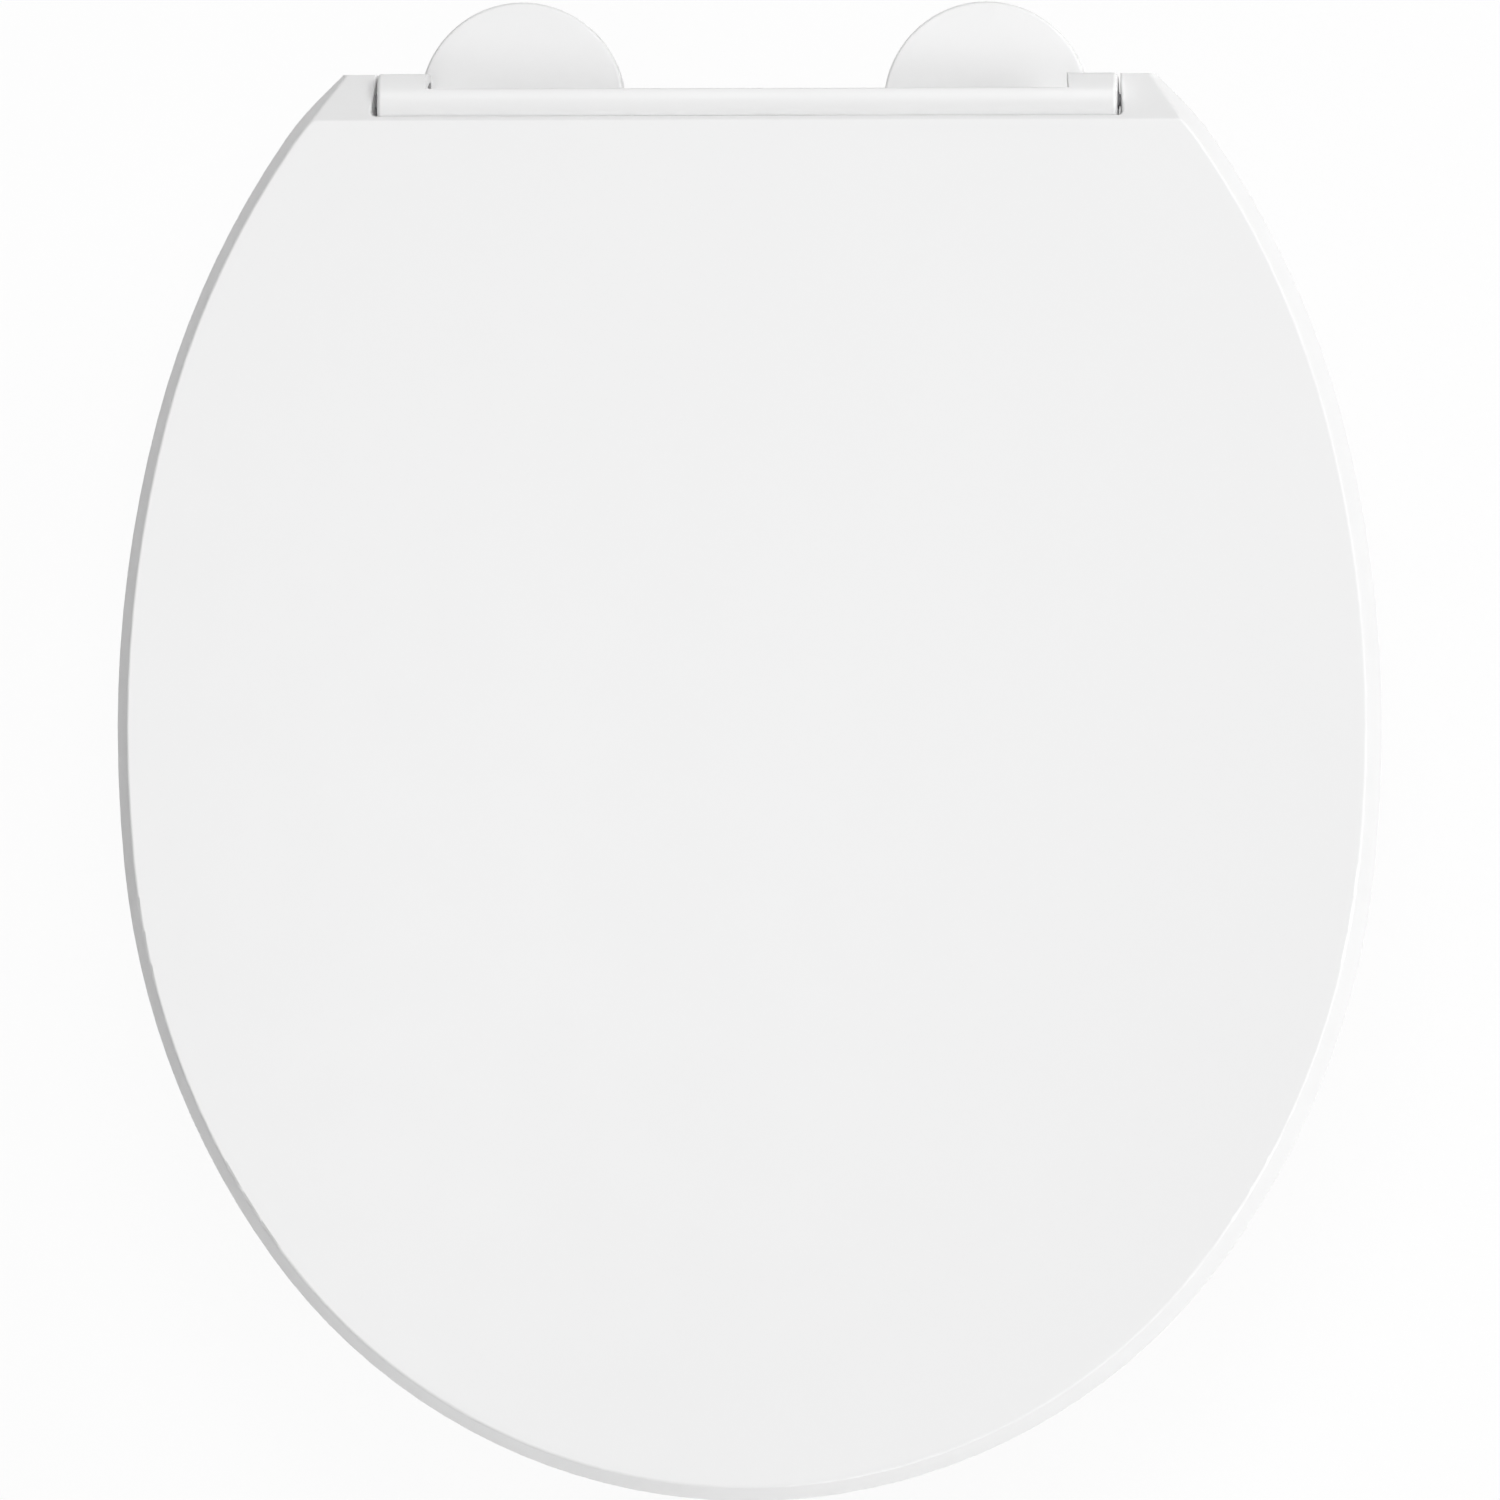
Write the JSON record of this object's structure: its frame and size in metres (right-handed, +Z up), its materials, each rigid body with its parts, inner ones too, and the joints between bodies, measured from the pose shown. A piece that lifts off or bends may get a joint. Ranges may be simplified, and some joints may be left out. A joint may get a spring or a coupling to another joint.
{
  "type": "toilet seat",
  "caption": "White toilet seat with a flat-topped wrap-over lid, soft-close hinges on round cover discs and bolts for the pan.",
  "frame": {"origin": "midway between the two fixing bolts, on the plane of the ceramic under the gaskets", "axes": "+X to the right seen from the front, +Y from the front of the seat to the hinge, +Z up"},
  "size_m": [0.37, 0.4389, 0.1],
  "materials": {
    "seat_plastic": "gloss",
    "cover_plastic": "satin",
    "hinge_plastic": "satin",
    "damper_plastic": "matte",
    "nut_plastic": "matte",
    "buffer_rubber": "matte",
    "gasket_rubber": "matte",
    "steel": "brushed"
  },
  "bodies": {
    "base": {"gasket_left": "gasket_rubber", "base_plate_left": "steel", "cover_disc_left": "cover_plastic", "fixing_bolt_left": "steel", "cone_washer_left": "gasket_rubber", "flat_washer_left": "nut_plastic", "wing_nut_left": "nut_plastic", "hinge_pedestal_left": "hinge_plastic", "grub_screw_left": "steel", "damper_housing_left": "damper_plastic", "damper_cap_left": "damper_plastic", "gasket_right": "gasket_rubber", "base_plate_right": "steel", "cover_disc_right": "cover_plastic", "fixing_bolt_right": "steel", "cone_washer_right": "gasket_rubber", "flat_washer_right": "nut_plastic", "wing_nut_right": "nut_plastic", "hinge_pedestal_right": "hinge_plastic", "grub_screw_right": "steel", "damper_housing_right": "damper_plastic", "damper_cap_right": "damper_plastic"},
    "ring": {"seat_ring": "seat_plastic", "damper_rotor_right": "damper_plastic", "seat_buffer_front_left": "buffer_rubber", "seat_buffer_front_right": "buffer_rubber", "seat_buffer_rear_left": "buffer_rubber", "seat_buffer_rear_right": "buffer_rubber"},
    "lid": {"lid": "seat_plastic", "damper_rotor_left": "damper_plastic", "lid_buffer_front_left": "buffer_rubber", "lid_buffer_front_right": "buffer_rubber", "lid_buffer_rear_left": "buffer_rubber", "lid_buffer_rear_right": "buffer_rubber"}
  },
  "joints": [
    {"name": "seat_hinge", "type": "hinge", "parent": "base", "child": "ring", "pos_m": [0, 0, 0.034], "axis": [-1, 0, 0], "range_deg": [0, 95]},
    {"name": "lid_hinge", "type": "hinge", "parent": "ring", "child": "lid", "pos_m": [0, 0, 0.034], "axis": [-1, 0, 0], "range_deg": [0, 100]}
  ]
}
